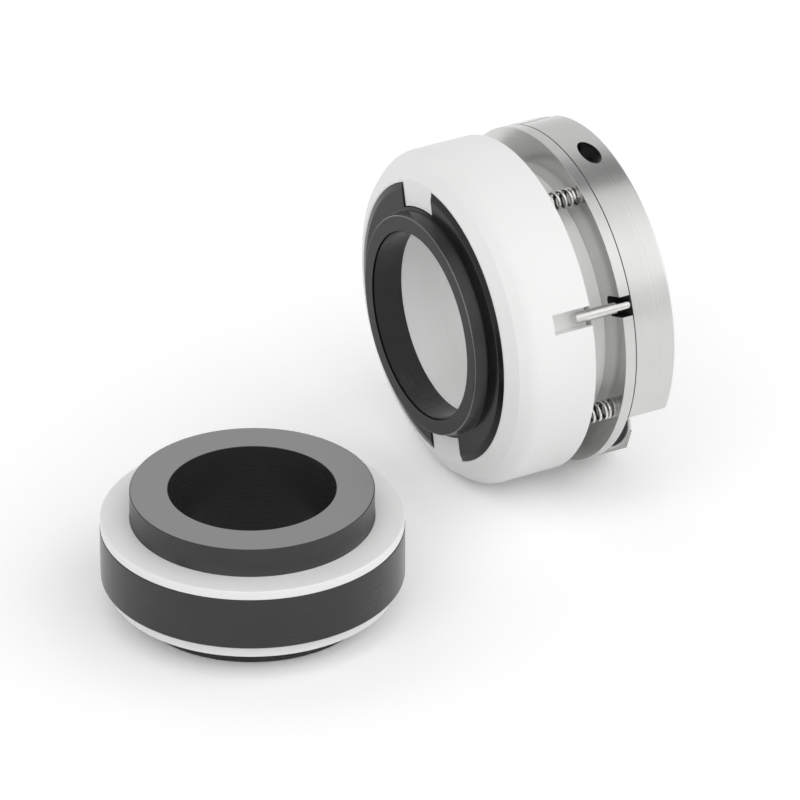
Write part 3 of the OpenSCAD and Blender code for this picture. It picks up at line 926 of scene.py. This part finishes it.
# Stage: a pale floor, a bright studio round it and two soft lamps. Rays from the camera, also
# by way of a shiny or clear surface, see the floor in a brighter colour.

stageLook = {"floorColour": (0.80, 0.80, 0.80), "seenColour": (1.12, 1.12, 1.12),
             "lift": 0.03, "floorSize": 8.0,
             "seenBy": ("Is Camera Ray", "Is Glossy Ray", "Is Transmission Ray")}


def makeFloor(look):
    shape = bmesh.new()
    bmesh.ops.create_grid(shape, x_segments=1, y_segments=1, size=look["floorSize"] / 2)
    bmesh.ops.translate(shape, vec=(0, 0, seat["ground"] * millimetre), verts=shape.verts[:])
    mesh = bpy.data.meshes.new("floor")
    shape.to_mesh(mesh)
    shape.free()
    floor = bpy.data.objects.new("floor", mesh)
    bpy.context.scene.collection.objects.link(floor)
    material, graph = newMaterial("paleFloor")
    direct, glossy, clear = [graph.add("ShaderNodeLightPath", {}, {}, kind)
                             for kind in look["seenBy"]]
    seen = (direct + glossy + clear).clamped()
    tint = graph.mix(seen, look["floorColour"], look["seenColour"])
    diffuse = graph.add("ShaderNodeBsdfDiffuse", {}, {"Color": tint})
    glow = graph.add("ShaderNodeEmission", {}, {"Strength": seen * look["lift"]})
    both = graph.add("ShaderNodeAddShader", {}, {0: diffuse, 1: glow})
    graph.add("ShaderNodeOutputMaterial", {}, {"Surface": both})
    mesh.materials.append(material)


makeFloor(stageLook)


# The studio is a soft dome. A dark strip runs overhead between the rear and the front panels,
# which gives the steel its bands. Edges are angles in radians from overhead, with the rear
# positive, and those of the light behind the collar are shares of the direction along X.

studio = {"rear": 0.80, "strip": 0.30, "front": 0.95, "panel": 0.33, "low": 0.86,
          "behind": 0.5}
studioEdges = {"stripStart": (-0.03, 0.10), "stripEnd": (0.30, 0.75), "front": (-0.06, 0.07),
               "panelStart": (-1.3, -1.1), "panelEnd": (-0.7, -0.1), "low": (-1.5, -1.3),
               "behind": (0.7, 0.95)}


def makeWorld(look, edges):
    world = bpy.data.worlds.new("studio")
    bpy.context.scene.world = world
    world.use_nodes = True
    graph = Graph(world.node_tree)
    direction = graph.add("ShaderNodeTexCoord", {}, {}, "Generated")
    ways = graph.split(direction)
    overhead = ways["Y"].maths("ARCTAN2", ways["Y"], ways["Z"])
    strip = overhead.step(*edges["stripStart"]) * (1 - overhead.step(*edges["stripEnd"]))
    front = 1 - overhead.step(*edges["front"])
    panel = overhead.step(*edges["panelStart"]) * (1 - overhead.step(*edges["panelEnd"]))
    low = 1 - overhead.step(*edges["low"])
    behind = ways["X"].step(*edges["behind"])
    light = (look["rear"] + front * (look["front"] - look["rear"])
             + strip * (look["strip"] - look["rear"]) + panel * look["panel"]
             + low * (look["low"] - look["front"]) + behind * look["behind"])
    background = graph.add("ShaderNodeBackground", {}, {"Color": (1, 1, 1, 1),
                                                        "Strength": light})
    graph.add("ShaderNodeOutputWorld", {}, {"Surface": background})


makeWorld(studio, studioEdges)

lamps = {
    "key": {"place": (-0.55, -0.15, 1.1), "aims": (-0.03, -0.01, -0.02), "size": 0.6,
            "power": 0.6},
    "left": {"place": (-1.1, 0.35, 0.25), "aims": (-0.05, -0.01, -0.02), "size": 0.5,
             "power": 0.4},
}


def makeLamp(name, look):
    data = bpy.data.lights.new(name, "AREA")
    data.shape, data.size, data.energy = "SQUARE", look["size"], look["power"]
    lamp = bpy.data.objects.new(name, data)
    lamp.location = look["place"]
    lamp.rotation_mode = "QUATERNION"
    aim = Vector(look["aims"]) - Vector(look["place"])
    lamp.rotation_quaternion = aim.to_track_quat("-Z", "Y")
    bpy.context.scene.collection.objects.link(lamp)


for name, look in lamps.items():
    makeLamp(name, look)
print("stage lit")
